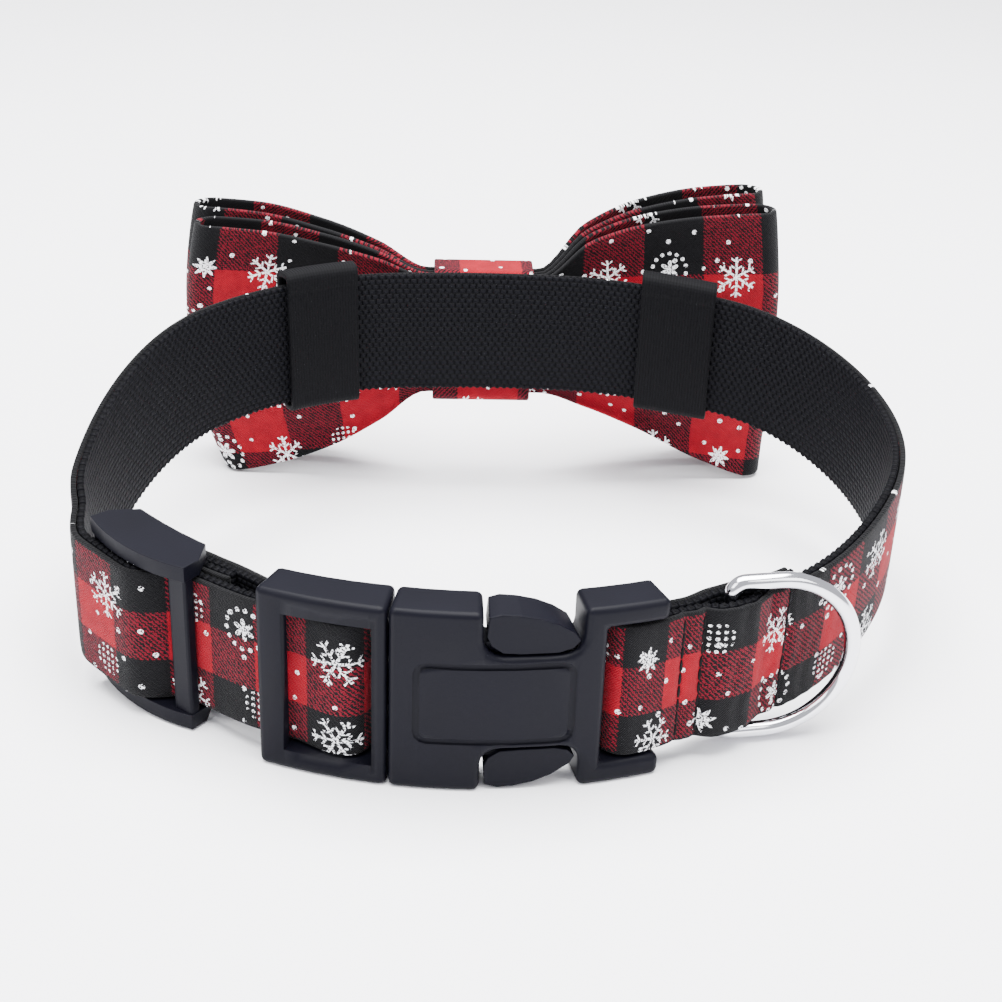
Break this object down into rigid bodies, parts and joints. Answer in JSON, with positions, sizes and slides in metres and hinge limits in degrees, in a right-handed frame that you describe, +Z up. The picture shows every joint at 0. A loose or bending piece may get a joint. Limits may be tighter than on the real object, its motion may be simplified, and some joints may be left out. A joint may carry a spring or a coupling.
{
  "type": "dog collar with bow tie",
  "caption": "Adjustable plaid dog collar with a side-release buckle, slider, lead ring and a bow tie on elastic loops, standing on its edge.",
  "frame": {"origin": "middle of the bounding box on the surface that the collar stands on", "axes": "+Z up, -Y towards the buckle, +Y towards the bow, +X to the ring's side"},
  "size_m": [0.1516, 0.1394, 0.0635],
  "materials": {
    "webbing": "woven polypropylene webbing",
    "plaid_cover": "printed cotton plaid ribbon",
    "buckle_plug": "moulded, fine matte",
    "buckle_socket": "moulded, fine matte",
    "slider": "moulded, fine matte",
    "d_ring": "bright nickel plate, polished",
    "bow_near": "printed cotton plaid",
    "bow_far": "printed cotton plaid",
    "bow_knot": "printed cotton plaid",
    "elastic_loop_left": "ribbed knitted elastic",
    "elastic_loop_right": "ribbed knitted elastic"
  },
  "bodies": {
    "collar": {"webbing": "webbing", "plaid_cover": "plaid_cover", "buckle_plug": "buckle_plug", "buckle_socket": "buckle_socket", "slider": "slider", "bow_near": "bow_near", "bow_far": "bow_far", "bow_knot": "bow_knot", "elastic_loop_left": "elastic_loop_left", "elastic_loop_right": "elastic_loop_right"},
    "ring": {"d_ring": "d_ring"}
  },
  "joints": [
    {"name": "ring_hinge", "type": "hinge", "parent": "collar", "child": "ring", "pos_m": [0.03875, -0.05307, 0.01684], "axis": [0.005, -0.0088, 0.9999], "range_deg": [-120, 0]}
  ]
}
